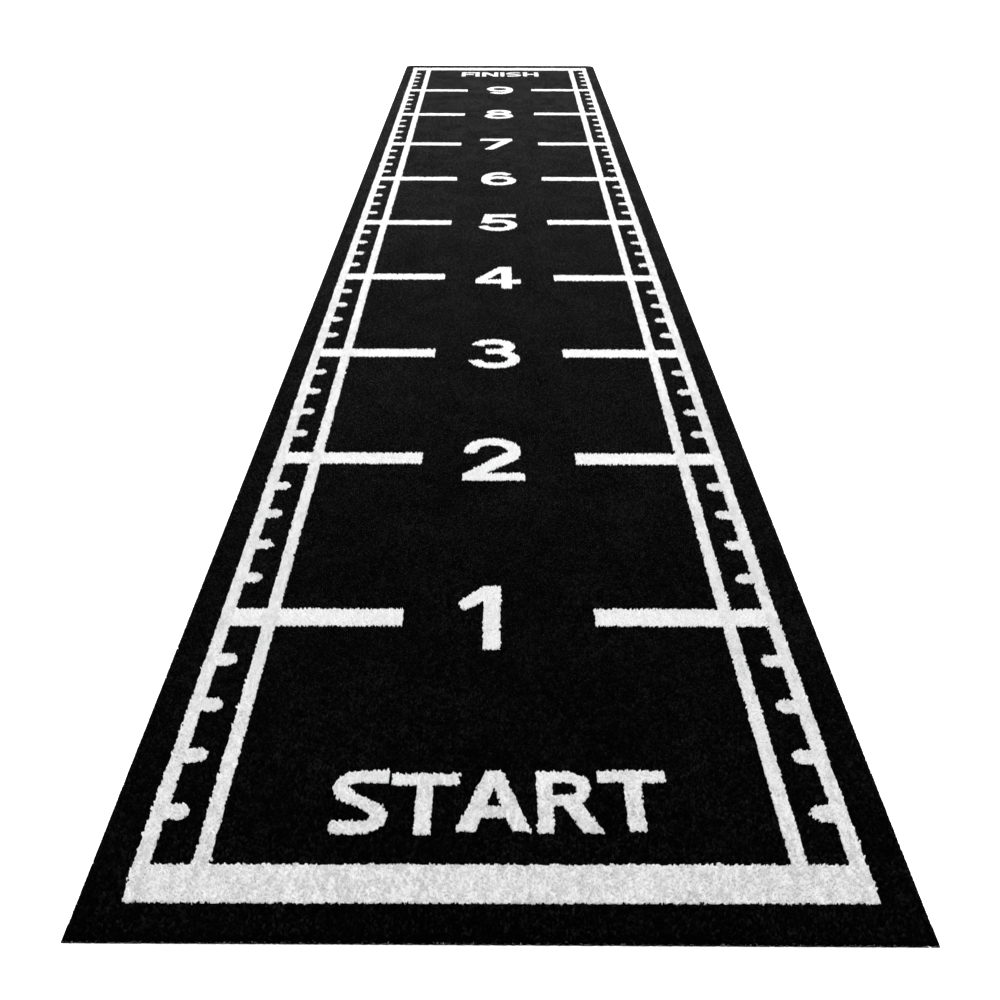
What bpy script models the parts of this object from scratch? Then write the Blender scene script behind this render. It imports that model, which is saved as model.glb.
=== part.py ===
"""Practice putting mat, marked in feet: a cut-pile runner lying flat.

Frame: origin at the middle of the footprint on the underside, +X to the
right as the numerals are read, +Y along the mat from START to FINISH, +Z up.
Everything is in metres.

The mat is a stack of four layers. From the floor up they are a non-slip
rubber backing, a latex coat that locks the tufts, a woven primary cloth that
the tufts are stitched through, and the cut pile. The pile is laid out here as
the areas of one yarn colour that fill each other edge to edge: a black
border, a white frame of lines, black channels and a black field inside it,
and white numerals and letters let into the field.
"""

import math

import bmesh
import bpy
from mathutils import Vector
from mathutils.geometry import delaunay_2d_cdt

# ---------------------------------------------------------------- dimensions
FOOT = 0.3048                # marks 1 to 9 are nominally one foot apart
MAT_WIDTH = 2.0 * FOOT       # 0.6096
NEAR_END = (-0.1301, -0.138)  # end of the mat before the START band, in feet, at its left and right: not cut quite square
FAR_END = 10.29              # end of the mat past the FINISH band, in feet
MID = 0.5 * (min(NEAR_END) + FAR_END)
NEAR_CORNER = 0.0025         # corner radius, cut nearly square
FAR_CORNER = 0.021           # corner radius at the far end

RUBBER = 0.0020              # non-slip backing
LATEX = 0.0006               # coat over the backs of the stitches
CLOTH = 0.0008               # woven primary cloth
PILE = 0.0067                # cut pile above the cloth
GAP = 0.0003                 # clearance between touching pieces

# White lines, in feet along the mat and in fractions of its width across it
BAND_START = (-0.0422, 0.0675)
BAND_FINISH = (10.040, 10.166)
OUTER_RAIL = ((0.0474, 0.0687), (0.0435, 0.0655))  # at START and at FINISH: the frame widens a little
INNER_RAIL = ((0.1201, 0.1412), (0.1155, 0.1388))
BAR_END = {"left": 0.3430, "right": 0.3458}  # inner end of each foot bar
BAR_THICK = 0.0865           # in feet
TICK_END = (0.0964, 0.0928)  # inner end of each short tick, at START and at FINISH
TICK_FIRST = 0.216           # first tick past a foot mark, in feet
TICK_STEP = 0.1945           # from one tick to the next, in feet
TICK_THICK = 0.054           # in feet
MARKS = range(1, 10)
# How far each mark lies past its nominal foot as measured, in feet, and the ticks of each foot
MARK_OFF = {1: 0.0127, 2: 0.0168, 3: 0.0165, 4: 0.0270, 5: 0.0060,
            6: 0.0050, 7: -0.0060, 8: 0.0340, 9: 0.0480}
BAR_OFF = {  # the same for each side's bars
    "left": (0.0140, 0.0186, 0.0191, 0.0379, 0.0006, 0.0001, -0.0095, 0.0219, 0.0344),
    "right": (0.0144, 0.0141, 0.0146, 0.0207, 0.0098, 0.0012, -0.0007, 0.0504, 0.0580)}
TICK_OFF = {
    "left": (0.0125, 0.0085, 0.0070, 0.0160, 0.0140, -0.0110, -0.0280, -0.0220, 0.0150, 0.0400),
    "right": (0.0085, 0.0055, 0.0010, 0.0110, 0.0110, -0.0015, 0.0080, 0.0290, 0.0575, 0.0840)}
# How far the rails stray outwards from a straight line at each foot, in metres
STRAY = {
    "left": (-0.0002, 0.0002, 0.0012, 0.0019, 0.0024, 0.0020, 0.0011, 0.0009, 0.0014, 0.0019, 0.0020),
    "right": (0.0008, -0.0009, -0.0006, -0.0001, 0.0, -0.0002, -0.0004, -0.0003, 0.0003, 0.0008, 0.0009)}
TICKS = 4                    # between two marks

# Numerals, in feet
NUM_H, NUM_S = 0.333, 0.0605
NUM_CENTRE = {1: 0.4661, 2: 0.4875, 3: 0.4865, 4: 0.4952, 5: 0.4922,
              6: 0.4960, 7: 0.4855, 8: 0.4958, 9: 0.5000}
# Letters, in feet
LET_H, LET_S = 0.211, 0.0425
START_BASE = 0.158
FINISH_BASE = 9.722
# (letter, place across, how far its foot is from the base line, its height as a share of LET_H)
START_WORD = (("S", 0.2774, -0.001, 1.0), ("T", 0.3550, -0.002, 0.955), ("A", 0.4439, 0.008, 0.962),
              ("R", 0.5492, 0.004, 0.965), ("T", 0.6313, 0.009, 0.955))
FINISH_WORD = (("F", 0.3015, -0.004, 1.0), ("I", 0.3735, -0.004, 1.0), ("N", 0.4078, -0.003, 1.0),
               ("I", 0.5022, 0.004, 1.0), ("S", 0.5333, -0.002, 1.0), ("H", 0.6207, 0.004, 1.0))

BLACK, WHITE = "yarn_black", "yarn_white"


# ------------------------------------------------------------ drawing helpers
# Glyph shapes are in feet, from the glyph's own lower left corner. Each is a
# list of (sign, points): +1 adds yarn of the marking's colour, -1 cuts it out.
def bar(x0, y0, x1, y1):
    return [(x0, y0), (x1, y0), (x1, y1), (x0, y1)]


def on_ellipse(cx, cy, rx, ry, start, stop, steps):
    out = []
    for i in range(steps + 1):
        a = math.radians(start + (stop - start) * i / steps)
        out.append((cx + rx * math.cos(a), cy + ry * math.sin(a)))
    return out


def oval(cx, cy, rx, ry, steps=18):
    return on_ellipse(cx, cy, rx, ry, 0, 360, steps)[:-1]


def arc(cx, cy, rx, ry, s, start, stop, steps=9):
    outer = on_ellipse(cx, cy, rx, ry, start, stop, steps)
    inner = on_ellipse(cx, cy, rx - s, ry - s, start, stop, steps)
    return outer + inner[::-1]


def slant(xa, ya, xb, yb, wide):
    """A stroke from (xa, ya) up to (xb, yb) with level ends of this width."""
    return [(xa, ya), (xa + wide, ya), (xb + wide, yb), (xb, yb)]


def turned(shapes, w, h):
    return [(sign, [(w - x, h - y) for x, y in points]) for sign, points in shapes]


def numeral(n):
    """(width, shapes) of one numeral."""
    h, s = NUM_H, NUM_S
    if n == 1:
        w, stem = 0.142, 0.057
        flag = [(w - stem, h), (0.0, h - 0.091), (0.022, h - 0.132), (w - stem, h - 0.082)]
        return w, [(1, bar(w - stem, 0.014, w, h)), (1, flag)]
    if n == 2:
        w, s = 0.247, 0.056
        return w, [
            (1, arc(0.118, h - 0.112, 0.118, 0.112, s, -32, 186, 13)),
            (1, [(0.0, 0.045), (0.093, s), (0.2335, 0.170), (0.172, 0.216)]),
            (1, bar(0, 0, w, s)),
        ]
    if n == 3:
        w = 0.250
        return w, [
            (1, arc(0.118, h - 0.092, 0.111, 0.092, s * 0.97, -62, 166, 11)),
            (1, arc(0.124, 0.103, 0.126, 0.103, s * 0.97, -168, 62, 11)),
            (1, bar(0.082, 0.5 * h - 0.005, 0.172, 0.5 * h + s * 0.92 - 0.005)),
        ]
    if n == 4:
        w = 0.257
        return w, [
            (1, [(0, 0.075), (0, 0.137), (0.134, h), (0.206, h), (0.206, 0.137),
                 (w, 0.137), (w, 0.075), (0.206, 0.075), (0.206, 0), (0.146, 0), (0.146, 0.075)]),
            (-1, [(0.066, 0.136), (0.146, 0.136), (0.146, 0.248)]),
        ]
    if n == 5:
        w = 0.258
        return w, [
            (1, bar(0.045, h - s, 0.250, h)),
            (1, [(0.045, h), (0.104, h), (0.088, 0.178), (0.024, 0.156)]),
            (1, arc(0.129, 0.112, 0.129, 0.112, s, -168, 146, 14)),
        ]
    if n in (6, 9):
        w = 0.256
        six = [
            (1, arc(0.128, 0.5 * h, 0.128, 0.5 * h, s, 42, 200, 10)),
            (1, oval(0.128, 0.114, 0.128, 0.114)),
            (-1, oval(0.128, 0.114, 0.128 - s, 0.114 - s * 0.95, 12)),
        ]
        return w, six if n == 6 else turned(six, w, h)
    if n == 7:
        w = 0.258
        return w, [
            (1, bar(0, h - s * 1.05, w, h)),
            (1, [(0.034, 0), (0.106, 0), (w, h - s), (w, h - 0.02), (0.172, h - s)]),
        ]
    w = 0.256
    return w, [
        (1, oval(0.128, h - 0.089, 0.112, 0.089)),
        (1, oval(0.128, 0.101, 0.128, 0.101)),
        (-1, oval(0.128, h - 0.086, 0.112 - s, 0.089 - s, 10)),
        (-1, oval(0.128, 0.100, 0.128 - s, 0.101 - s, 10)),
    ]


def letter(name):
    """(width, shapes) of one capital."""
    h, s = LET_H, LET_S
    if name == "S":
        w, up, low = 0.154, 0.058, 0.058
        return w, [
            (1, arc(0.068, h - up, 0.068, up, s, 90, 262, 8)),
            (1, arc(w - 0.068, low, 0.068, low, s, -90, 82, 8)),
            (1, bar(0.067, h - s, w - 0.006, h)),
            (1, [(0.050, h - 2 * up + 0.004), (0.104, 2 * low - s - 0.001), (0.106, 2 * low - 0.002), (0.052, h - 2 * up + s)]),
            (1, [(0.006, 0.012), (0.014, 0), (w - 0.067, 0), (w - 0.067, s), (0.014, s), (0.004, s - 0.010)]),
        ]
    if name == "T":
        w = 0.184
        return w, [(1, bar(0, h - s, w, h)), (1, bar(0.5 * w - 0.0225, 0, 0.5 * w + 0.0225, h))]
    if name == "A":
        w = 0.194
        return w, [
            (1, [(0, 0), (0.050, 0), (0.117, h), (0.074, h)]),
            (1, [(w - 0.050, 0), (w, 0), (w - 0.074, h), (w - 0.117, h)]),
            (1, bar(0.034, 0.045, w - 0.034, 0.086)),
        ]
    if name == "R":
        w, bowl, s = 0.172, 0.0605, 0.0395
        return w, [
            (1, bar(0, 0, 0.0425, h)),
            (1, bar(0.040, h - s, 0.085, h)),
            (1, bar(0.040, h - 2 * bowl, 0.085, h - 2 * bowl + s)),
            (1, arc(0.084, h - bowl, bowl, bowl, s, -90, 90, 8)),
            (1, [(0.116, 0), (w, 0), (0.118, h - 2 * bowl + 0.012), (0.062, h - 2 * bowl + 0.012)]),
        ]
    if name == "F":
        w = 0.146
        return w, [(1, bar(0, 0, s, h)), (1, bar(0, h - s, w, h)), (1, bar(0, 0.082, w - 0.022, 0.082 + s))]
    if name == "I":
        return s, [(1, bar(0, 0, s, h))]
    if name == "N":
        w = 0.166
        return w, [(1, bar(0, 0, s, h)), (1, bar(w - s, 0, w, h)), (1, slant(w - s * 1.12, 0, 0, h, s * 1.12))]
    w = 0.160
    return w, [(1, bar(0, 0, s, h)), (1, bar(w - s, 0, w, h)), (1, bar(0, 0.5 * (h - s), w, 0.5 * (h + s)))]


# --------------------------------------------------------- the mat's own plan
def place(points, along, across):
    """Feet from a glyph's corner to metres in the mat's frame."""
    return [(MAT_WIDTH * (across - 0.5) + x * FOOT, (along - MID + y) * FOOT) for x, y in points]


def box(u0, n0, u1, n1):
    x0, x1 = (MAT_WIDTH * (u - 0.5) for u in (u0, u1))
    y0, y1 = ((n - MID) * FOOT for n in (n0, n1))
    return [(x0, y0), (x1, y0), (x1, y1), (x0, y1)]


def stray(side, n):
    i = min(int(n), 9)
    return STRAY[side][i] + (STRAY[side][i + 1] - STRAY[side][i]) * (n - i)


def rail(side, at_start, at_finish):
    """A rail on the left, whose edges run from their places at START to those at FINISH but for its stray."""
    feet = [0.05] + list(range(1, 11)) + [10.06]
    edge = lambda k, n: MAT_WIDTH * (at_start[k] + (at_finish[k] - at_start[k]) * n / 10 - 0.5) - stray(side, min(n, 10))  # noqa: E731
    return [(edge(0, n), (n - MID) * FOOT) for n in reversed(feet)] + [(edge(1, n), (n - MID) * FOOT) for n in feet]


def mat_outline():
    half, y1 = 0.5 * MAT_WIDTH, (FAR_END - MID) * FOOT
    out = []
    for sx, sy, r, start, steps in (
        (-1, -1, NEAR_CORNER, 180, 2), (1, -1, NEAR_CORNER, 270, 2),
        (1, 1, FAR_CORNER, 0, 5), (-1, 1, FAR_CORNER, 90, 5),
    ):
        cx = sx * (half - r)
        cy = (NEAR_END[sx > 0] - MID) * FOOT + r if sy < 0 else y1 - r
        out += on_ellipse(cx, cy, r, r, start, start + 90, steps)
    return out


def mirrored(points):
    return [(-x, y) for x, y in points][::-1]


def tick(side, n):
    """One short tick from the left outer rail, with a rounded inner end."""
    x0 = MAT_WIDTH * (OUTER_RAIL[1][1] - 0.5) - 0.004
    x1 = MAT_WIDTH * (TICK_END[0] + (TICK_END[1] - TICK_END[0]) * n / 10 - 0.5) - stray(side, n)
    y, half = (n - MID) * FOOT, 0.5 * TICK_THICK * FOOT
    r = 0.62 * half
    return [(x0, y - half), (x1 - r, y - half), (x1, y - half + r), (x1, y + half - r), (x1 - r, y + half), (x0, y + half)]


# Each shape is (label, rank, sign, points). Where shapes overlap, the label of
# highest rank takes the ground, so the lines butt against each other as cut.
SHAPES = [("ground", 0, 1, mat_outline())]
for label, span, edge in (("start_band", BAND_START, OUTER_RAIL[0][0]), ("finish_band", BAND_FINISH, OUTER_RAIL[1][0])):
    at = 0 if label == "start_band" else 10
    left, right = edge - stray("left", at) / MAT_WIDTH - 0.0011, 1 - edge + stray("right", at) / MAT_WIDTH + 0.0011
    band = box(left, span[0], right, span[1])
    if label == "start_band":  # its left end slants inwards
        band[0] = (band[0][0] + 0.0024, band[0][1])
    SHAPES.append((label, 4, 1, band))
for side in ("left", "right"):
    flip = mirrored if side == "right" else (lambda points: points)
    outer, inner = f"outer_rail_{side}", f"inner_rail_{side}"
    SHAPES.append((outer, 3, 1, flip(rail(side, *OUTER_RAIL))))
    SHAPES.append((inner, 2, 1, flip(rail(side, *INNER_RAIL))))
    for n in MARKS:
        at = n + BAR_OFF[side][n - 1]
        SHAPES.append((inner, 2, 1, flip(box(0.058, at - BAR_THICK / 2, BAR_END[side], at + BAR_THICK / 2))))
    for foot in range(10):
        for k in range(TICKS):
            SHAPES.append((outer, 3, 1, flip(tick(side, foot + TICK_OFF[side][foot] + TICK_FIRST + k * TICK_STEP))))
for n in MARKS:
    wide, shapes = numeral(n)
    across = NUM_CENTRE[n] - 0.5 * wide * FOOT / MAT_WIDTH
    for sign, points in shapes:
        SHAPES.append((f"numeral_{n}", 5, sign, place(points, n + MARK_OFF[n] - 0.5 * NUM_H, across)))
for word, base, glyphs in (("start", START_BASE, START_WORD), ("finish", FINISH_BASE, FINISH_WORD)):
    for i, (name, across, lift, tall) in enumerate(glyphs, 1):
        for sign, points in letter(name)[1]:
            points = [(x, lift + y * tall) for x, y in points]
            SHAPES.append((f"{word}_letter_{i}_{name}", 5, sign, place(points, base, across)))


def divide():
    """The plan cut into triangles: (points, triangles, label of each triangle)."""
    points, faces = [], []
    for label, rank, sign, outline in SHAPES:
        outline = [Vector(p) for p in outline]
        if signed_area(outline) < 0:
            outline.reverse()
        faces.append(range(len(points), len(points) + len(outline)))
        points += outline
    verts, _, tris, _, _, inside = delaunay_2d_cdt(points, [], [list(f) for f in faces], 1, 1e-6)
    labels = []
    for owners in inside:
        cut = {SHAPES[i][0] for i in owners if SHAPES[i][2] < 0}
        best = max((SHAPES[i][1], SHAPES[i][0]) for i in owners if SHAPES[i][0] not in cut or SHAPES[i][0] == "ground")
        labels.append(best[1])
    return [tuple(v) for v in verts], [tuple(t) for t in tris], labels


def regions(tris, labels):
    """Groups of touching triangles that share a label."""
    by_edge = {}
    for i, t in enumerate(tris):
        for a, b in zip(t, t[1:] + t[:1]):
            by_edge.setdefault(frozenset((a, b)), []).append(i)
    seen, out = set(), []
    for first in range(len(tris)):
        if first in seen:
            continue
        group, todo = [], [first]
        seen.add(first)
        while todo:
            i = todo.pop()
            group.append(i)
            t = tris[i]
            for a, b in zip(t, t[1:] + t[:1]):
                for j in by_edge[frozenset((a, b))]:
                    if j not in seen and labels[j] == labels[i]:
                        seen.add(j)
                        todo.append(j)
        out.append(group)
    return out


def loops_of(group, tris, verts):
    """The closed outlines of a group, with straight-through points left out."""
    follow = {}
    edges = {e for i in group for e in zip(tris[i], tris[i][1:] + tris[i][:1])}
    for a, b in edges:
        if (b, a) not in edges:
            follow.setdefault(a, []).append(b)
    loops = []
    while follow:
        start = min(follow)
        loop, at = [], start
        while True:
            loop.append(at)
            ways = follow[at]
            if len(ways) == 1:
                step = ways[0]
            else:  # where two outlines meet at a point, keep to the sharpest left turn
                back = Vector(verts[loop[-2]]) - Vector(verts[at]) if len(loop) > 1 else Vector((0, -1))
                step = max(ways, key=lambda w: -back.angle_signed(Vector(verts[w]) - Vector(verts[at])) % (2 * math.pi))
            ways.remove(step)
            if not ways:
                del follow[at]
            at = step
            if at == start:
                break
        loops.append([Vector(verts[i]) for i in loop])
    return [tidy(loop) for loop in loops]


def tidy(loop):
    changed = True
    while changed:
        changed, out = False, []
        n = len(loop)
        for i, p in enumerate(loop):
            a, b = loop[i - 1], loop[(i + 1) % n]
            away = (p - a).length < 0.0004
            one, two = (p - a), (b - p)
            flat = abs(one.x * two.y - one.y * two.x) < 3e-5 * max(one.length, two.length, 1e-6) * 1.0
            if (away or flat) and not changed:
                changed = True
                continue
            out.append(p)
        loop = out
    return loop


def inset(loop, by):
    """The outline moved to its left, into the material, by this much."""
    out, n = [], len(loop)
    for i, p in enumerate(loop):
        one = (p - loop[i - 1]).normalized()
        two = (loop[(i + 1) % n] - p).normalized()
        n1, n2 = Vector((-one.y, one.x)), Vector((-two.y, two.x))
        mid = n1 + n2
        scale = 2.0 / max(mid.length_squared, 0.35)
        out.append(p + mid * by * scale)
    return out


def covers(loops, p):
    """Whether the point lies on the material side of these outlines."""
    odd = False
    for loop in loops:
        for i, b in enumerate(loop):
            a = loop[i - 1]
            if (a.y > p.y) != (b.y > p.y) and p.x < a.x + (p.y - a.y) * (b.x - a.x) / (b.y - a.y):
                odd = not odd
    return odd


def signed_area(loop):
    return 0.5 * sum(a.x * b.y - b.x * a.y for a, b in zip(loop, loop[1:] + loop[:1]))


# ------------------------------------------------------------------ materials
def material(name, colour, roughness, metallic=0.0):
    mat = bpy.data.materials.get(name) or bpy.data.materials.new(name)
    mat.use_nodes = True
    shader = mat.node_tree.nodes["Principled BSDF"]
    shader.inputs["Base Color"].default_value = (*colour, 1)
    shader.inputs["Roughness"].default_value = roughness
    shader.inputs["Metallic"].default_value = metallic
    return mat


MATERIALS = {
    BLACK: ((0.012, 0.012, 0.013), 0.95),
    WHITE: ((0.78, 0.78, 0.77), 0.92),
    "primary_cloth": ((0.06, 0.06, 0.06), 0.9),
    "latex": ((0.20, 0.19, 0.17), 0.75),
    "rubber": ((0.025, 0.025, 0.027), 0.85),
}


def prism(name, loops, z0, z1, kind):
    """A plate between z0 and z1 with these outlines, the first one outermost."""
    loops = sorted(loops, key=lambda loop: -abs(signed_area(loop)))
    loops = [loop if (signed_area(loop) > 0) == (i == 0) else loop[::-1] for i, loop in enumerate(loops)]
    points = [p for loop in loops for p in loop]
    edges, at = [], 0
    for loop in loops:
        edges += [(at + i, at + (i + 1) % len(loop)) for i in range(len(loop))]
        at += len(loop)
    verts, _, tris, _, _, _ = delaunay_2d_cdt(points, edges, [], 1, 1e-7)
    if len(verts) != len(points):
        raise ValueError(f"{name}: an outline crosses itself")
    tris = [t for t in tris if covers(loops, sum((verts[i] for i in t), Vector((0, 0))) / 3)]
    bm = bmesh.new()
    low = [bm.verts.new((v[0], v[1], z0)) for v in verts]
    top = [bm.verts.new((v[0], v[1], z1)) for v in verts]
    rim = {}
    for t in tris:
        bm.faces.new([top[i] for i in t])
        bm.faces.new([low[i] for i in reversed(t)])
        for a, b in zip(t, list(t[1:]) + [t[0]]):
            rim[(a, b)] = True
    for a, b in rim:
        if (b, a) not in rim:
            bm.faces.new([top[b], top[a], low[a], low[b]])
    mesh = bpy.data.meshes.new(name)
    bm.normal_update()
    bm.to_mesh(mesh)
    bm.free()
    obj = bpy.data.objects.new(name, mesh)
    bpy.context.scene.collection.objects.link(obj)
    obj.data.materials.append(material(kind, *MATERIALS[kind]))
    return obj


# ------------------------------------------------------------------- building
def name_of(label, centre, size, seen):
    """A black island is named for where it lies in the white figure."""
    if label != "ground":
        return "line_" + label if "rail" in label or "band" in label else label
    if size[0] > 0.9 * MAT_WIDTH:
        return "pile_border_black"
    if size[1] > 2.0:
        return "pile_field_black"
    n, u = centre[1] / FOOT + MID, centre[0] / MAT_WIDTH + 0.5
    if u < 0.15 or u > 0.85:
        side = "left" if u < 0.5 else "right"
        return f"pile_channel_{side}_{int(n) + 1}"
    if n < 0.5:
        return "pile_counter_start_A" if u < 0.52 else "pile_counter_start_R"
    mark = round(n)
    if mark == 8:
        return "pile_counter_8_top" if n > 8 else "pile_counter_8_bottom"
    return f"pile_counter_{mark}"


def build():
    for obj in list(bpy.data.objects):
        bpy.data.objects.remove(obj, do_unlink=True)
    z = 0.0
    for name, thick, kind in (
        ("rubber_backing", RUBBER, "rubber"),
        ("latex_coat", LATEX, "latex"),
        ("primary_backing_cloth", CLOTH, "primary_cloth"),
    ):
        prism(name, [[Vector(p) for p in mat_outline()]], z, z + thick, kind)
        z += thick + GAP
    verts, tris, labels = divide()
    for group in regions(tris, labels):
        loops = loops_of(group, tris, verts)
        outer = max(loops, key=lambda loop: abs(signed_area(loop)))
        xs, ys = [p.x for p in outer], [p.y for p in outer]
        centre = (0.5 * (min(xs) + max(xs)), 0.5 * (min(ys) + max(ys)))
        size = (max(xs) - min(xs), max(ys) - min(ys))
        label = labels[group[0]]
        name = name_of(label, centre, size, None)
        moved = []
        for loop in loops:
            at_rim = label == "ground" and loop is outer and name == "pile_border_black"
            moved.append(loop if at_rim else inset(loop, 0.5 * GAP))
        prism(name, moved, z, z + PILE, BLACK if label == "ground" else WHITE)


build()
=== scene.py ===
"""The looks of the practice putting mat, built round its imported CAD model.

Every tuft of the cut pile is real geometry: plies of yarn with a narrow root in the backing cloth, a full shoulder
and a tip, over a bed of packed yarn. A tuft takes the colour of the CAD node that its root stands in, so the lines,
numerals and letters have the slightly ragged outline of tufted yarn. Along the cut edges the strands lean out and
droop over the backing. Below the pile are the woven cloth, the latex coat and the rubber sheet with its grip studs.
"""

import math

import bpy
import numpy as np
from mathutils import Matrix, Vector
from mathutils.bvhtree import BVHTree
from mathutils.geometry import delaunay_2d_cdt


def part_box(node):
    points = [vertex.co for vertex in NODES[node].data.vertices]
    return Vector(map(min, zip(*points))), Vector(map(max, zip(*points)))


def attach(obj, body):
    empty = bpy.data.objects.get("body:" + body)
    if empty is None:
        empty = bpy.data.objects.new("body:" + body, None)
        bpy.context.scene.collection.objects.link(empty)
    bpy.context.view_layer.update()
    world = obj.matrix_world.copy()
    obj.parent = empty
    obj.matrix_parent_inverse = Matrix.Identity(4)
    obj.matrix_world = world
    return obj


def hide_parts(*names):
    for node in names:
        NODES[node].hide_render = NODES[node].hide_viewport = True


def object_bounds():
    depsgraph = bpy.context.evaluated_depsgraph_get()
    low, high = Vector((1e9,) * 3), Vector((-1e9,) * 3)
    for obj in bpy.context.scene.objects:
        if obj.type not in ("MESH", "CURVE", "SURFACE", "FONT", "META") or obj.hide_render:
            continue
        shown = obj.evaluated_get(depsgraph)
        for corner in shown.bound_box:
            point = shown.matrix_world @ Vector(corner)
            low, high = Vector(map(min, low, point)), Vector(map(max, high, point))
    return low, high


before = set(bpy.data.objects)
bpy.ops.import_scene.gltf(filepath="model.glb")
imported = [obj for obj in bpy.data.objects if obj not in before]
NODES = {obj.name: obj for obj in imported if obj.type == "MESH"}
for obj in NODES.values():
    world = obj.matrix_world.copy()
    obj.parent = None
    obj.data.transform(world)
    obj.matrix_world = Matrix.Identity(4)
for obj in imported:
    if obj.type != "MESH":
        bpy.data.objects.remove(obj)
cad_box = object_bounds()
BODY = "root"

# ---------------------------------------------------------------- sizes, in metres
PITCH_X = 0.00258        # gauge: the distance between tuft rows across the width
PITCH_Y = 0.00252        # stitch length along a row
lo, hi = cad_box
CLOTH_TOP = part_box("primary_backing_cloth")[1].z
PILE_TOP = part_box("pile_field_black")[1].z
PLIES = 2
PLY_RADIUS = (0.00125, 0.00172)  # at the shoulder, across and along the mat: stitches press the yarn flat between rows
PLY_HEIGHTS = (0.93, 1.02)
SHOULDER = (0.52, 0.68)  # its height, as a share of the ply's
SHOULDER_UP = 1.0        # how far the shoulder's shading leans upwards
ROOT_FAN = 0.00040       # from the tuft's middle to a ply's, at the root
FAN = 0.00110            # and at the tip, at most
EDGE_STEP = 0.0006       # tufts along the cut edges stand this close
BED_SHARE = 0.58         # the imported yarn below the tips, as a share of the pile's height
MOST_TUFTS = 16000       # in one piece

OVER_LEFT, OVER_RIGHT, OVER_NEAR, OVER_FAR = 0.0009, 0.0018, 0.0031, 0.0008  # how far strands stand out over the cut edges
BACKING_NEAR = 0.0000    # how far the backing stands out at the near end
SPLAY = 0.0060           # at the near corners, strands this near fan out
CORNER_TUFTS = 90        # more of them at each near corner
EDGE_BAND = 0.0050       # tufts this near a cut edge lean over it

rng = np.random.default_rng(20)


# ---------------------------------------------------------------- noise in numpy
def value_noise(x, y, cell, seed):
    """Smooth noise from -1 to 1, with patches about one cell across."""
    table = np.random.default_rng(seed).uniform(-1, 1, (512, 512))
    u, v = x / cell + 101.3, y / cell + 57.7
    i, j = np.floor(u).astype(int), np.floor(v).astype(int)
    fu, fv = u - i, v - j
    fu, fv = fu * fu * (3 - 2 * fu), fv * fv * (3 - 2 * fv)
    a, b = table[i % 512, j % 512], table[(i + 1) % 512, j % 512]
    c, d = table[i % 512, (j + 1) % 512], table[(i + 1) % 512, (j + 1) % 512]
    return (a * (1 - fu) + b * fu) * (1 - fv) + (c * (1 - fu) + d * fu) * fv


# ---------------------------------------------------------------- the mat's outline
def outline(node):
    """The plan outline of a CAD node with one plain top face, anticlockwise."""
    me = NODES[node].data
    place = [(round(v.co.x, 6), round(v.co.y, 6)) for v in me.vertices]
    rings = [[place[i] for i in p.vertices] for p in me.polygons if p.normal.z > 0.9]
    edges = {e for ring in rings for e in zip(ring, ring[1:] + ring[:1])}
    follow = {a: b for a, b in edges if (b, a) not in edges}
    points = [min(follow)]
    while follow[points[-1]] != points[0]:
        points.append(follow[points[-1]])
    return np.array(points)


RIM = outline("primary_backing_cloth")


def from_rim(x, y):
    """How far inside the outline each point lies, and the outward direction at the nearest side of it."""
    inside, out_x, out_y = np.full(x.shape, np.inf), np.zeros(x.shape), np.zeros(x.shape)
    for (ax, ay), (bx, by) in zip(RIM, np.roll(RIM, -1, axis=0)):
        length = math.hypot(bx - ax, by - ay)
        nx, ny = (by - ay) / length, (ax - bx) / length
        away = (ax - x) * nx + (ay - y) * ny
        closer = away < inside
        inside[closer], out_x[closer], out_y[closer] = away[closer], nx, ny
    return inside, out_x, out_y


def along_rim(step):
    """Points one step apart along the outline."""
    ring = np.vstack([RIM, RIM[:1]])
    at = np.concatenate([[0], np.cumsum(np.hypot(*np.diff(ring, axis=0).T))])
    want = np.linspace(0, at[-1], round(at[-1] / step), endpoint=False)
    return np.interp(want, at, ring[:, 0]), np.interp(want, at, ring[:, 1])


def reach(out_x, out_y):
    """How far strands may stand out past an edge that faces this way."""
    return np.where(out_x < 0, OVER_LEFT, OVER_RIGHT) * np.abs(out_x) + np.where(out_y < 0, OVER_NEAR, OVER_FAR) * np.abs(out_y)


def near_line(x):
    """Where the near edge lies at x, its corners taken as square."""
    (ax, ay), (bx, by) = (min(RIM[RIM[:, 0] * s > 0], key=lambda p: p[1]) for s in (-1, 1))
    return ay + (by - ay) * (x - ax) / (bx - ax)


def by_corner(x, y):
    """1 at a near corner of the mat, and 0 from SPLAY away."""
    return np.clip(1 - np.hypot(np.abs(x) - RIM[:, 0].max(), y - near_line(x)) / SPLAY, 0, 1)


def hold(part):
    """Moves the points of strands at a cut edge back within reach of it, and above the floor."""
    px, py, pz = part[..., 0], part[..., 1], np.maximum(part[..., 2], 0.0003)
    inside, out_x, out_y = from_rim(px, py)
    back = np.maximum(-inside - np.minimum(reach(out_x, out_y), 0.0002 + 0.62 * pz), 0)
    wide = RIM[:, 0].max() + np.where(px < 0, OVER_LEFT, OVER_RIGHT) + 0.46 * np.maximum(PILE_TOP - pz, 0)
    first = near_line(px) - np.minimum(OVER_NEAR, BACKING_NEAR + 0.62 * pz)
    near = py < RIM[:, 1].min() + 0.010
    part[..., 0] = np.where(near, np.clip(px, -wide, wide), px - back * out_x)
    part[..., 1] = np.where(near, np.maximum(py, first), py - back * out_y)
    part[..., 2] = pz
    return part


# ---------------------------------------------------------------- materials
def tree_of(name):
    mat = bpy.data.materials.new(name)
    mat.use_nodes = True
    nt = mat.node_tree
    return mat, nt, nt.nodes["Principled BSDF"]


def set_inputs(bsdf, **values):
    for key, value in values.items():
        bsdf.inputs[key.replace("_", " ")].default_value = value


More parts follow.
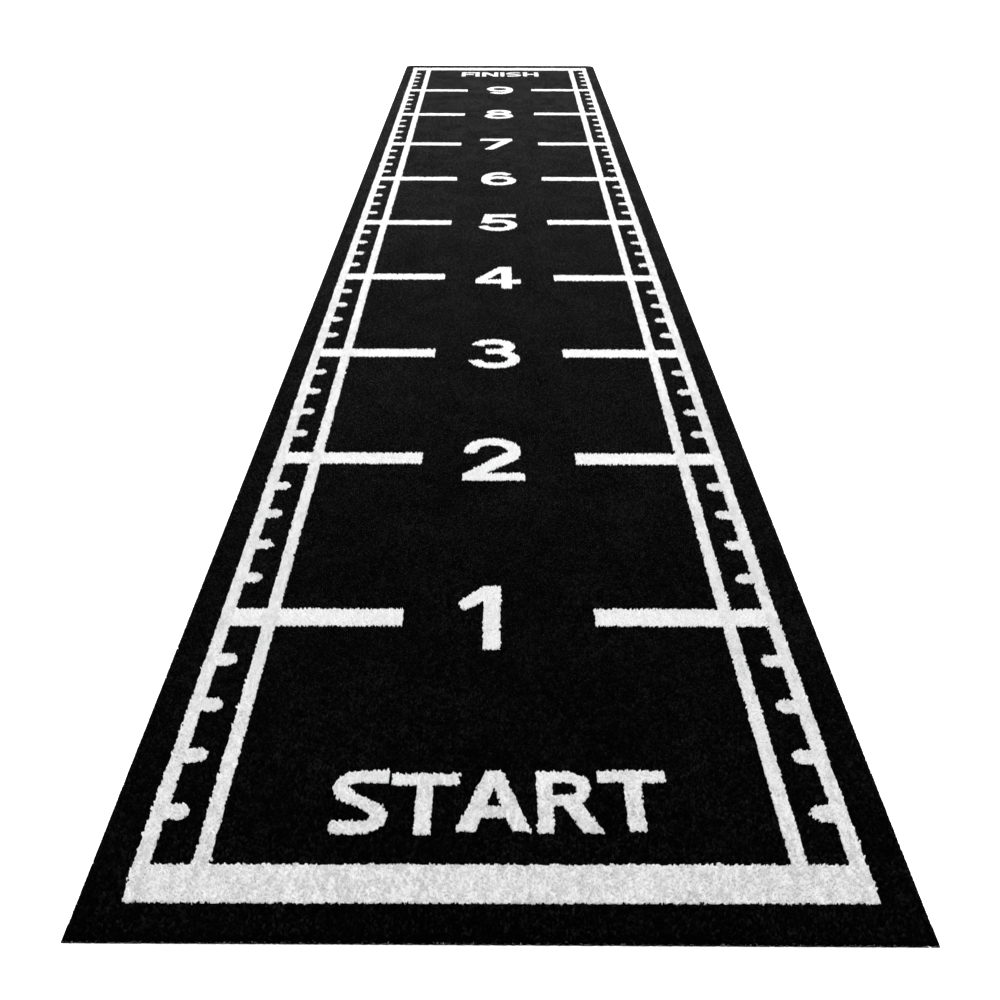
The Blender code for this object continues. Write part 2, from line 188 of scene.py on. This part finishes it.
def mix_colour(nt, a, b, factor):
    """A Mix node between colours a and b, each a tuple or a socket."""
    mix = nt.nodes.new("ShaderNodeMix")
    mix.data_type = "RGBA"
    for socket, value in ((mix.inputs[6], a), (mix.inputs[7], b), (mix.inputs[0], factor)):
        if isinstance(value, bpy.types.NodeSocket):
            nt.links.new(value, socket)
        elif isinstance(value, tuple):
            socket.default_value = (*value, 1)
        else:
            socket.default_value = value
    return mix.outputs[2]


def maths(nt, operation, a, b=0.0, c=0.0):
    node = nt.nodes.new("ShaderNodeMath")
    node.operation = operation
    for socket, value in zip(node.inputs, (a, b, c)):
        if isinstance(value, bpy.types.NodeSocket):
            nt.links.new(value, socket)
        else:
            socket.default_value = value
    return node.outputs[0]


def noise(nt, scale, detail=3.0, roughness=0.55, stretch=None):
    coords = nt.nodes.new("ShaderNodeTexCoord")
    out = coords.outputs["Object"]
    if stretch is not None:
        mapping = nt.nodes.new("ShaderNodeMapping")
        mapping.inputs["Scale"].default_value = stretch
        nt.links.new(out, mapping.inputs["Vector"])
        out = mapping.outputs["Vector"]
    node = nt.nodes.new("ShaderNodeTexNoise")
    node.inputs["Scale"].default_value = scale
    node.inputs["Detail"].default_value = detail
    node.inputs["Roughness"].default_value = roughness
    nt.links.new(out, node.inputs["Vector"])
    return node.outputs["Fac"]


def spread(nt, value, low, high):
    """value, mapped from low..high to 0..1 and clamped."""
    node = nt.nodes.new("ShaderNodeMapRange")
    nt.links.new(value, node.inputs["Value"])
    node.inputs["From Min"].default_value = low
    node.inputs["From Max"].default_value = high
    return node.outputs["Result"]


def plain_material(name, colour, roughness):
    mat, _, bsdf = tree_of(name)
    set_inputs(bsdf, Base_Color=(*colour, 1), Roughness=roughness)
    return mat


def yarn_material(name, dark, light, skew, patch, **shader):
    """Cut-pile yarn: each tuft has its own tone between dark and light, fibres streak along it, and broad patches of
    painted light and shade show where the pile lies differently.
    """
    mat, nt, bsdf = tree_of(name)
    tone = nt.nodes.new("ShaderNodeAttribute")
    tone.attribute_name = "tone"
    tuft = maths(nt, "POWER", spread(nt, tone.outputs["Fac"], 0.0, 1.0), skew)
    fibres = noise(nt, 2600.0, 2.0, 0.6, stretch=(1.0, 1.0, 0.16))
    patches = noise(nt, 16.0, 3.0)
    a = mix_colour(nt, dark, light, tuft)
    b = mix_colour(nt, a, dark, maths(nt, "MULTIPLY", spread(nt, fibres, 0.52, 0.70), 0.45))
    # Painted light and shade: broad noise patches pull the tone towards the patch colour where the pile would lie
    # differently.
    c = mix_colour(nt, b, patch, maths(nt, "MULTIPLY", spread(nt, patches, 0.42, 0.62), 0.35))
    nt.links.new(c, bsdf.inputs["Base Color"])
    set_inputs(bsdf, **shader)
    return mat


BLACK = yarn_material(
    "yarn_black_pile", dark=(0.0001, 0.0001, 0.0001), light=(0.0110, 0.0110, 0.0113), skew=2.2, patch=(0.0012, 0.0012, 0.0012),
    Roughness=0.75, IOR=1.005, Sheen_Weight=1.0, Sheen_Roughness=0.30, Sheen_Tint=(0.4, 0.4, 0.41, 1))
WHITE = yarn_material(
    "yarn_white_pile", dark=(0.65, 0.65, 0.65), light=(0.93, 0.93, 0.93), skew=0.7, patch=(0.81, 0.81, 0.81),
    Roughness=0.8, IOR=1.2, Sheen_Weight=0.3, Sheen_Roughness=0.4, Sheen_Tint=(1, 1, 1, 1))
BLACK_PLAIN = plain_material("yarn_black_plain", (0.0085, 0.0085, 0.0088), 0.7)
WHITE_PLAIN = plain_material("yarn_white_plain", (0.84, 0.84, 0.84), 0.8)


# ---------------------------------------------------------------- tufts
def top_faces():
    """Every pile node's top face, as one tree, with the node of each face."""
    points, polygons, owner = [], [], []
    for name, node in sorted(NODES.items()):
        if name in ("primary_backing_cloth", "latex_coat", "rubber_backing"):
            continue
        me = node.data
        at = len(points)
        points.extend(v.co.copy() for v in me.vertices)
        for p in me.polygons:
            if p.normal.z > 0.9 and p.center.z > PILE_TOP - 0.0005:
                polygons.append([at + i for i in p.vertices])
                owner.append(name)
    return BVHTree.FromPolygons(points, polygons), owner


def root_points():
    """Where the tufts are stitched: rows along the length, every other row half a stitch on, none of them quite even."""
    lo, hi = cad_box
    nx, ny = int((hi.x - lo.x) / PITCH_X), int((hi.y - lo.y) / PITCH_Y)
    i, j = np.meshgrid(np.arange(nx), np.arange(ny), indexing="ij")
    x = lo.x + (hi.x - lo.x) * (i + 0.5) / nx
    y = lo.y + (hi.y - lo.y) * (j + 0.5 + 0.5 * (i % 2) - 0.25) / ny
    x = x + rng.uniform(-0.24, 0.24, x.shape) * PITCH_X
    y = y + rng.uniform(-0.26, 0.26, y.shape) * PITCH_Y
    return x.ravel(), y.ravel()


def labels(x, y):
    tree, owner = top_faces()
    names = sorted(set(owner))
    index = np.array([names.index(n) for n in owner])
    down, out = Vector((0, 0, -1)), np.full(len(x), -1)
    for k in range(len(x)):
        hit = tree.ray_cast(Vector((x[k], y[k], 0.02)), down)[2]
        if hit is None:
            hit = tree.find_nearest(Vector((x[k], y[k], PILE_TOP)), 0.0008)[2]
        if hit is not None:
            out[k] = index[hit]
    return names, out


def settle(x, y, label, white):
    """(across x, across y, step) per tuft: the way to the outline of a line or letter that runs beside it, and how far to
    move its root that way. Rows beside an outline follow it, so their roots come to about one distance from it."""
    across_x, across_y, step = np.zeros(len(x)), np.zeros(len(x)), np.zeros(len(x))
    at = np.arange(len(x))
    for distance, move in ((0.0019, 0.0003), (0.0009, -0.0007)):
        other = []
        for dx, dy in ((1, 0), (-1, 0), (0, 1), (0, -1)):
            found = labels(x[at] + distance * dx, y[at] + distance * dy)[1]
            other.append(((found >= 0) & (white[found] != white[label[at]])).astype(float))
        way_x, way_y = other[0] - other[1], other[2] - other[3]
        size = np.hypot(way_x, way_y)
        beside = size > 0
        at, way_x, way_y, size = at[beside], way_x[beside], way_y[beside], size[beside]
        across_x[at], across_y[at], step[at] = way_x / size, way_y / size, move
    return across_x, across_y, step


def tufts(x, y, height, lean_x, lean_y, droop, turn, size, tone, edge):
    """(points, normals, tones) of tufts, five points to a ply. A tuft is PLIES plies of yarn that leave one root and fan
    out, each a closed three-sided spindle: a pointed root, a full shoulder and a pointed tip."""
    m = len(x)
    co = np.zeros((m, PLIES, 5, 3), np.float32)
    nor = np.zeros((m, PLIES, 5, 3), np.float32)
    shade = np.zeros((m, PLIES, 5), np.float32)
    for p in range(PLIES):
        out = turn + (p + rng.uniform(-0.15, 0.15, m)) * 2 * math.pi / PLIES
        ox, oy = np.cos(out), np.sin(out)
        tip = rng.uniform(0.35, 1.0, m) * FAN
        high = height * rng.uniform(*PLY_HEIGHTS, m)
        shoulder = np.where(edge, rng.uniform(0.78, 0.92, m), rng.uniform(*SHOULDER, m))
        spin = rng.uniform(0, 2 * math.pi, m)
        co[:, p, 0] = np.stack([x + ROOT_FAN * ox, y + ROOT_FAN * oy, np.full(m, CLOTH_TOP)], 1)
        nor[:, p, 0] = (0, 0, 1)
        for k in range(3):
            a = spin + k * 2 * math.pi / 3
            r = size * rng.uniform(0.85, 1.15, m)
            co[:, p, 1 + k, 0] = x + (ROOT_FAN + (tip - ROOT_FAN) * shoulder) * ox + lean_x * shoulder + PLY_RADIUS[0] * r * np.cos(a)
            co[:, p, 1 + k, 1] = y + (ROOT_FAN + (tip - ROOT_FAN) * shoulder) * oy + lean_y * shoulder + PLY_RADIUS[1] * r * np.sin(a)
            co[:, p, 1 + k, 2] = CLOTH_TOP + high * (shoulder + rng.uniform(-0.06, 0.06, m)) - droop * shoulder**2
            nor[:, p, 1 + k] = np.stack([np.cos(a), np.sin(a), SHOULDER_UP + 0 * a], 1)
        co[:, p, 4] = np.stack([x + lean_x + tip * ox, y + lean_y + tip * oy, CLOTH_TOP + high - droop], 1)
        nor[:, p, 4] = np.stack([(lean_x + tip * ox) / high * 0.8, (lean_y + tip * oy) / high * 0.8, np.ones(m)], 1)
        shade[:, p] = np.clip(tone + rng.normal(0, 0.05, m), 0, 1)[:, None]
    nor /= np.linalg.norm(nor, axis=3, keepdims=True)
    rim = np.nonzero(from_rim(x, y)[0] < 0.010)[0]
    if len(rim):
        co[rim] = hold(co[rim])
        _, out_x, out_y = from_rim(x[rim], y[rim])
        facing = np.stack([0.55 * out_x, 0.55 * out_y, np.full(len(rim), 0.84)], 1)[:, None, None]
        nor[rim] = np.where(edge[rim][:, None, None, None], 0.25 * nor[rim] + 0.75 * facing, nor[rim])
        nor /= np.linalg.norm(nor, axis=3, keepdims=True)
    return co.reshape(-1, 3), nor.reshape(-1, 3), shade.ravel()


SPINDLE = np.array([0, 2, 1, 0, 3, 2, 0, 1, 3, 1, 2, 4, 2, 3, 4, 3, 1, 4])


def pile_mesh(name, node, co, nor, shade):
    """The tufts as one mesh. With a node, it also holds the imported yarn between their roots, which is the node's own
    outline up to a share of the pile's height."""
    spindles = len(co) // 5
    index = (np.arange(spindles)[:, None] * 5 + SPINDLE[None, :]).ravel()
    starts = np.arange(0, spindles * 18, 3)
    smooth = np.ones(len(starts), bool)
    if node:
        cad = NODES[node].data
        bed = np.zeros(len(cad.vertices) * 3, np.float32)
        cad.vertices.foreach_get("co", bed)
        bed = bed.reshape(-1, 3)
        bed[:, 2] = CLOTH_TOP + (bed[:, 2] > (CLOTH_TOP + PILE_TOP) / 2) * BED_SHARE * (PILE_TOP - CLOTH_TOP)
        corners, firsts = np.zeros(len(cad.loops), np.int32), np.zeros(len(cad.polygons), np.int32)
        cad.loops.foreach_get("vertex_index", corners)
        cad.polygons.foreach_get("loop_start", firsts)
        starts = np.concatenate([starts, firsts + len(index)])
        index = np.concatenate([index, corners + len(co)])
        smooth = np.concatenate([smooth, np.zeros(len(firsts), bool)])
        co = np.concatenate([co, bed])
        nor = np.concatenate([nor, np.tile(np.float32([0, 0, 1]), (len(bed), 1))])
        # Painted shade: the yarn bed below the tips takes a low tone, for the shade deep between the tufts.
        shade = np.concatenate([shade, np.full(len(bed), 0.15, np.float32)])
    me = bpy.data.meshes.new(name)
    me.vertices.add(len(co))
    me.vertices.foreach_set("co", co.astype(np.float32).ravel())
    me.loops.add(len(index))
    me.loops.foreach_set("vertex_index", index.astype(np.int32))
    me.polygons.add(len(starts))
    me.polygons.foreach_set("loop_start", starts.astype(np.int32))
    me.update(calc_edges=True)
    me.polygons.foreach_set("use_smooth", smooth)
    me.attributes.new("custom_normal", "FLOAT_VECTOR", "POINT").data.foreach_set("vector", nor.astype(np.float32).ravel())
    me.attributes.new("tone", "FLOAT", "POINT").data.foreach_set("value", shade.astype(np.float32))
    low, span = co[:, :2].min(0), np.maximum(np.ptp(co[:, :2], axis=0), 1e-6)
    uv = ((co[:, :2] - low) / span * 0.98 + 0.01).astype(np.float32)
    me.uv_layers.new(name="OFBake").data.foreach_set("uv", uv[index].ravel())
    return me


def finish_piece(name, me, plain, material, slot, *nodes):
    """The mesh as a piece that rides on the body and stands for those CAD nodes."""
    me.materials.append(plain)
    ob = bpy.data.objects.new(name, me)
    bpy.context.scene.collection.objects.link(ob)
    ob.material_slots[0].link = "OBJECT"
    ob.material_slots[0].material = material
    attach(ob, BODY)
    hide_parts(*nodes)
    return ob


x, y = root_points()
ex, ey = along_rim(EDGE_STEP)
for s in (-1, 1):
    at = s * RIM[:, 0].max() - s * np.abs(rng.normal(0, 0.0025, CORNER_TUFTS))
    up = np.abs(rng.normal(0, 0.0025, CORNER_TUFTS)) * (rng.random(CORNER_TUFTS) < 0.5)
    ex = np.concatenate([ex, np.where(up > 0, s * RIM[:, 0].max(), at)])
    ey = np.concatenate([ey, near_line(at) + up + 0.0003])
_, out_x, out_y = from_rim(ex, ey)
set_in = rng.uniform(0.0004, 0.0012, len(ex))
edge = np.concatenate([np.zeros(len(x), bool), np.ones(len(ex), bool)])
x, y = np.concatenate([x, ex - set_in * out_x]), np.concatenate([y, ey - set_in * out_y])
names, label = labels(x, y)
keep = label >= 0
x, y, label, edge = x[keep], y[keep], label[keep], edge[keep]
n = len(x)
height = (PILE_TOP - CLOTH_TOP) * (1 + rng.normal(0, 0.028, n) + 0.03 * value_noise(x, y, 0.035, 5))
height = np.clip(height, 0.0058, 0.0082)
lean_angle = rng.uniform(0, 2 * math.pi, n)
lean_size = np.abs(rng.normal(0, 0.00070, n))
lean_x = 1.7 * lean_size * np.cos(lean_angle) + 0.0005 * value_noise(x, y, 0.03, 6)  # more across the rows than along them
lean_y = 0.7 * lean_size * np.sin(lean_angle) + 0.0005 * value_noise(x, y, 0.03, 7)
turn = rng.uniform(0, 2 * math.pi, n)
size = rng.uniform(0.86, 1.14, n)
white_nodes = np.array([not name.startswith("pile_") for name in names])
is_white = white_nodes[label]
across_x, across_y, step = settle(x, y, label, white_nodes)
step = step * np.random.default_rng(41).uniform(0.3, 1.0, n)
x, y = x + step * across_x, y + step * across_y
beside = step != 0  # beside an outline the two plies stand along it and lean less across it
turn = np.where(beside, np.arctan2(across_x, -across_y) + 0.75 * (turn / math.pi - 1), turn)
lean_across = 0.3 * (lean_x * across_x + lean_y * across_y)
lean_x, lean_y = lean_x - lean_across * across_x, lean_y - lean_across * across_y
at_start = np.clip(1 - (y - lo.y - 0.06) / 0.20, 0, 1)  # the white yarn is streakier near START, and painted shade makes it a little darker there
# Painted shade: near START the white tone is lowered by up to 0.32.
white_streaks_and_shade = rng.normal(0.14, 0.08, n) + (0.34 + 0.38 * at_start) * value_noise(x, 0.40 * y, 0.0025, 8) - 0.32 * at_start
on_outer = np.array(["outer_rail" in name for name in names])[label]
on_inner = np.array(["inner_rail" in name for name in names])[label] & (np.abs(np.abs(x) - 0.2265) < 0.0085)
past_start = np.clip((y - lo.y - 0.15) / 0.15, 0, 1)  # past START the long lines are a little darker than the bars
far = np.clip((y - lo.y - 1.0) / 0.6, 0, 1)
mottle = 0.30 * (on_outer | on_inner) * value_noise(x, 0.6 * y, 0.0060, 12)
white_streaks_and_shade = white_streaks_and_shade + past_start * (mottle - (0.42 + 0.22 * far) * on_outer - (0.32 + 0.12 * far) * on_inner)
specks = rng.normal(0, 0.20, n) + 0.16 * value_noise(x, y, 0.006, 8)
tone = np.clip(0.5 + np.where(is_white, white_streaks_and_shade, specks) + 0.10 * value_noise(x, y, 0.05, 9), 0, 1)

# Near a cut edge nothing holds the tufts from outside, so they lean out over it, and some of the last row droop.
inside, out_x, out_y = from_rim(x, y)
near = np.clip(1 - inside / EDGE_BAND, 0, 1) ** 1.5
over = reach(out_x, out_y)
push = over + np.where(edge, 0.0020, 0.0004)
lean_x = lean_x * (1 - 0.7 * near) + out_x * near * push
lean_y = lean_y * (1 - 0.7 * near) + out_y * near * push
height = np.where(edge, (PILE_TOP - CLOTH_TOP) * rng.uniform(0.93, 1.0, n), height) * (1 - 0.10 * near * over / OVER_NEAR)
fan = by_corner(x, y)
lean_x = lean_x + np.sign(x) * fan * rng.uniform(0.001, 0.009, n)
lean_y = lean_y - fan * rng.uniform(0.0, 0.004, n)
front = out_y < -0.7
droop = np.where(edge & (rng.random(n) < np.where(front, 0.7, 0.45)), rng.uniform(0, 1, n) * np.where(front, 0.0110, 0.0070), 0)
droop = droop + np.where(droop > 0, 0, fan * rng.uniform(0, 0.010, n))
# Painted shade: the tufts along the cut edges take a much darker tone, for the shade over the mat's sides.
tone = np.where(edge, tone * 0.4, tone)

for k, node in enumerate(names):
    at = np.nonzero(label == k)[0]
    at = at[np.argsort(y[at], kind="stable")]
    white = not node.startswith("pile_")
    parts = max(1, math.ceil(len(at) / MOST_TUFTS))
    plain, material, slot = (WHITE_PLAIN, WHITE, "yarn_white") if white else (BLACK_PLAIN, BLACK, "yarn_black")
    for part, group in enumerate(np.array_split(at, parts)):
        piece = f"{node}_tufts" if parts == 1 else f"{node}_tufts_{part + 1:02d}"
        grown = tufts(x[group], y[group], height[group], lean_x[group], lean_y[group], droop[group], turn[group],
                      size[group], tone[group], edge[group])
        finish_piece(piece, pile_mesh(piece, None if part else node, *grown), plain, material, slot, node)
print("tufts", n)


# ---------------------------------------------------------------- the layers below the pile
def layer_mesh(name, low, high, step, profile, wobble, seed):
    """A layer between two heights. profile gives (share of the height, set in from the outline) from bottom to top,
    and each point of the cut edge is set in by up to wobble more."""
    local = np.random.default_rng(seed)
    px, py = along_rim(step)
    _, nx, ny = from_rim(px, py)
    px, py = px + BACKING_NEAR * nx * (ny < -0.7), py + BACKING_NEAR * ny * (ny < -0.7)
    count, rings = len(px), []
    drift = 0.5 + 0.5 * value_noise(px, py, 0.012, seed)
    for share, set_in in profile:
        by = set_in + wobble * (0.6 * local.random(count) + 0.4 * drift)
        rings.append(np.stack([px - by * nx, py - by * ny, np.full(count, low + share * (high - low))], 1))
    around = np.arange(count)
    after = np.roll(around, -1)
    faces = []
    for r in range(len(rings) - 1):
        a, b = r * count, (r + 1) * count
        faces += np.stack([a + around, a + after, b + after, b + around], 1).tolist()
    for r, flip in ((0, True), (len(rings) - 1, False)):
        flat = [Vector(p[:2]) for p in rings[r]]
        triangles = delaunay_2d_cdt(flat, [], [list(range(count))], 1, 0.0)[2]
        faces += [[r * count + i for i in (t[::-1] if flip else t)] for t in triangles]
    me = bpy.data.meshes.new(name)
    me.from_pydata(np.concatenate(rings).tolist(), [], faces)
    return me


def studs(low, high, pitch, radius):
    """Round grip studs in staggered rows, flat below and tapered: (points, faces)."""
    lo, hi = cad_box
    rows = int((hi.y - lo.y - 0.02) / (pitch * 0.866))
    points, faces = [], []
    corners = [(math.cos(k * math.pi / 4), math.sin(k * math.pi / 4)) for k in range(8)]
    for j in range(rows + 1):
        cy = (hi.y + lo.y) / 2 + (j - rows / 2) * pitch * 0.866
        columns = int((hi.x - lo.x - 0.02) / pitch) - (j % 2)
        for i in range(columns + 1):
            cx = (i - columns / 2) * pitch
            at = len(points)
            for z, r in ((low, radius * 0.8), (high, radius)):
                points += [(cx + r * c, cy + r * d, z) for c, d in corners]
            faces.append([at + k for k in reversed(range(8))])
            faces.append([at + 8 + k for k in range(8)])
            faces += [[at + k, at + (k + 1) % 8, at + 8 + (k + 1) % 8, at + 8 + k] for k in range(8)]
    return points, faces


def layer_material(name, dark, light, bump, scale, distance, detail_of, **shader):
    """A dark layer: broad tone patches, a fine surface of its own and an uneven roughness."""
    mat, nt, bsdf = tree_of(name)
    patches = noise(nt, 35.0, 4.0)
    nt.links.new(mix_colour(nt, dark, light, spread(nt, patches, 0.35, 0.68)), bsdf.inputs["Base Color"])
    surface = detail_of(nt, scale)
    node = nt.nodes.new("ShaderNodeBump")
    node.inputs["Strength"].default_value = bump
    node.inputs["Distance"].default_value = distance
    nt.links.new(surface, node.inputs["Height"])
    nt.links.new(node.outputs["Normal"], bsdf.inputs["Normal"])
    rough = nt.nodes.new("ShaderNodeMapRange")
    nt.links.new(patches, rough.inputs["Value"])
    for key, value in (("From Min", 0.3), ("From Max", 0.7), ("To Min", 0.72), ("To Max", 0.92)):
        rough.inputs[key].default_value = value
    nt.links.new(rough.outputs["Result"], bsdf.inputs["Roughness"])
    set_inputs(bsdf, **shader)
    return mat


def weave(nt, scale):
    """Flat slit-film warp crossing weft, over and under."""
    coords = nt.nodes.new("ShaderNodeTexCoord").outputs["Object"]
    waves = []
    for direction in ("X", "Y"):
        wave = nt.nodes.new("ShaderNodeTexWave")
        wave.bands_direction = direction
        wave.inputs["Scale"].default_value = scale
        wave.inputs["Distortion"].default_value = 0.6
        nt.links.new(coords, wave.inputs["Vector"])
        waves.append(wave.outputs["Fac"])
    check = nt.nodes.new("ShaderNodeTexChecker")
    check.inputs["Scale"].default_value = scale * 6.28
    nt.links.new(coords, check.inputs["Vector"])
    pick = nt.nodes.new("ShaderNodeMix")
    nt.links.new(check.outputs["Fac"], pick.inputs[0])
    nt.links.new(waves[0], pick.inputs[2])
    nt.links.new(waves[1], pick.inputs[3])
    return pick.outputs[0]


def bubbles(nt, scale):
    """The open cells of a frothed coat."""
    coords = nt.nodes.new("ShaderNodeTexCoord").outputs["Object"]
    cells = nt.nodes.new("ShaderNodeTexVoronoi")
    cells.inputs["Scale"].default_value = scale
    nt.links.new(coords, cells.inputs["Vector"])
    return cells.outputs["Distance"]


def grain(nt, scale):
    return noise(nt, scale, 6.0, 0.65)


RUBBER_SKIN = layer_material("rubber_skin", (0.0020, 0.0020, 0.0021), (0.0060, 0.0060, 0.0062), 0.5, 900.0, 0.0002, grain, IOR=1.12)
LATEX_SKIN = layer_material("latex_skin", (0.0010, 0.0010, 0.0010), (0.0030, 0.0029, 0.0028), 0.6, 1400.0, 0.0002, bubbles, IOR=1.05)
CLOTH_SKIN = layer_material("woven_skin", (0.0010, 0.0010, 0.0010), (0.0035, 0.0035, 0.0036), 0.7, 200.0, 0.0002, weave, IOR=1.05)
DARK_PLAIN = plain_material("backing_plain", (0.009, 0.009, 0.009), 0.85)


def box_of(node):
    lo_, hi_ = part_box(node)
    return lo_.z, hi_.z


low, high = box_of("rubber_backing")
rubber_mesh = layer_mesh("rubber_sheet", low + 0.0003, high, 0.0040, ((0, 0.0), (0.5, 0.0), (1, 0.0002)), 0.0001, 31)
stud_points, stud_faces = studs(low, low + 0.0005, 0.0190, 0.0036)
base_points = [tuple(v.co) for v in rubber_mesh.vertices]
base_faces = [list(p.vertices) for p in rubber_mesh.polygons]
both = bpy.data.meshes.new("rubber_sheet_with_studs")
both.from_pydata(base_points + stud_points, [], base_faces + [[len(base_points) + i for i in f] for f in stud_faces])
bpy.data.meshes.remove(rubber_mesh)
rubber = finish_piece("rubber_sheet_with_studs", both, DARK_PLAIN, RUBBER_SKIN, "rubber", "rubber_backing")
low, high = box_of("latex_coat")
latex = finish_piece("latex_layer", layer_mesh("latex_layer", low, high, 0.0030, ((0, 0.0002), (0.3, 0.0), (0.7, 0.0001), (1, 0.0003)), 0.0003, 32),
                     DARK_PLAIN, LATEX_SKIN, "latex", "latex_coat")
low, high = box_of("primary_backing_cloth")
cloth = finish_piece("woven_cloth", layer_mesh("woven_cloth", low, high, 0.0013, ((0, 0.0003), (0.35, 0.0), (0.65, 0.0), (1, 0.0003)), 0.0005, 33),
                     DARK_PLAIN, CLOTH_SKIN, "primary_cloth", "primary_backing_cloth")

# ---------------------------------------------------------------- camera, floor and light
YAW, PITCH, ROLL = math.radians(0.090), math.radians(33.17), math.radians(0.168)
forward = Vector((math.sin(YAW) * math.cos(PITCH), math.cos(YAW) * math.cos(PITCH), -math.sin(PITCH)))
side = forward.cross(Vector((0, 0, 1))).normalized()
up = side.cross(forward)
right = side * math.cos(ROLL) + up * math.sin(ROLL)
above = up * math.cos(ROLL) - side * math.sin(ROLL)
cam = bpy.data.cameras.new("camera")
cam.sensor_width, cam.lens, cam.clip_start, cam.clip_end = 36.0, 36.889, 0.05, 60.0
camera = bpy.data.objects.new("camera", cam)
bpy.context.scene.collection.objects.link(camera)
camera.matrix_world = Matrix((
    (right.x, above.x, -forward.x, -0.0012),
    (right.y, above.y, -forward.y, -2.02188),
    (right.z, above.z, -forward.z, 0.660),
    (0, 0, 0, 1)))
bpy.context.scene.camera = camera

floor_mesh = bpy.data.meshes.new("floor")
floor_mesh.from_pydata([(-9, -9, -0.0004), (9, -9, -0.0004), (9, 9, -0.0004), (-9, 9, -0.0004)], [], [(0, 1, 2, 3)])
floor = bpy.data.objects.new("floor", floor_mesh)
bpy.context.scene.collection.objects.link(floor)
floor_mat, _, floor_bsdf = tree_of("studio_floor")
set_inputs(floor_bsdf, Base_Color=(0.93, 0.93, 0.93, 1), Roughness=1.0, IOR=1.0, Emission_Color=(1, 1, 1, 1), Emission_Strength=0.80)
floor_mesh.materials.append(floor_mat)

world = bpy.data.worlds.new("studio")
bpy.context.scene.world = world
world.use_nodes = True
world.node_tree.nodes["Background"].inputs["Color"].default_value = (1, 1, 1, 1)
world.node_tree.nodes["Background"].inputs["Strength"].default_value = 0.95


def softbox(name, location, target, size, power):
    light = bpy.data.lights.new(name, "AREA")
    light.shape, light.size, light.size_y, light.energy = "RECTANGLE", size[0], size[1], power
    ob = bpy.data.objects.new(name, light)
    bpy.context.scene.collection.objects.link(ob)
    ob.location = location
    ob.rotation_euler = (Vector(target) - Vector(location)).to_track_quat("-Z", "Y").to_euler()
    return ob


softbox("softbox_overhead", (0.0, 1.0, 2.6), (0, 0.9, 0), (3.0, 2.6), 90)

scene = bpy.context.scene
scene.view_settings.view_transform = "Standard"
scene.view_settings.look = "None"
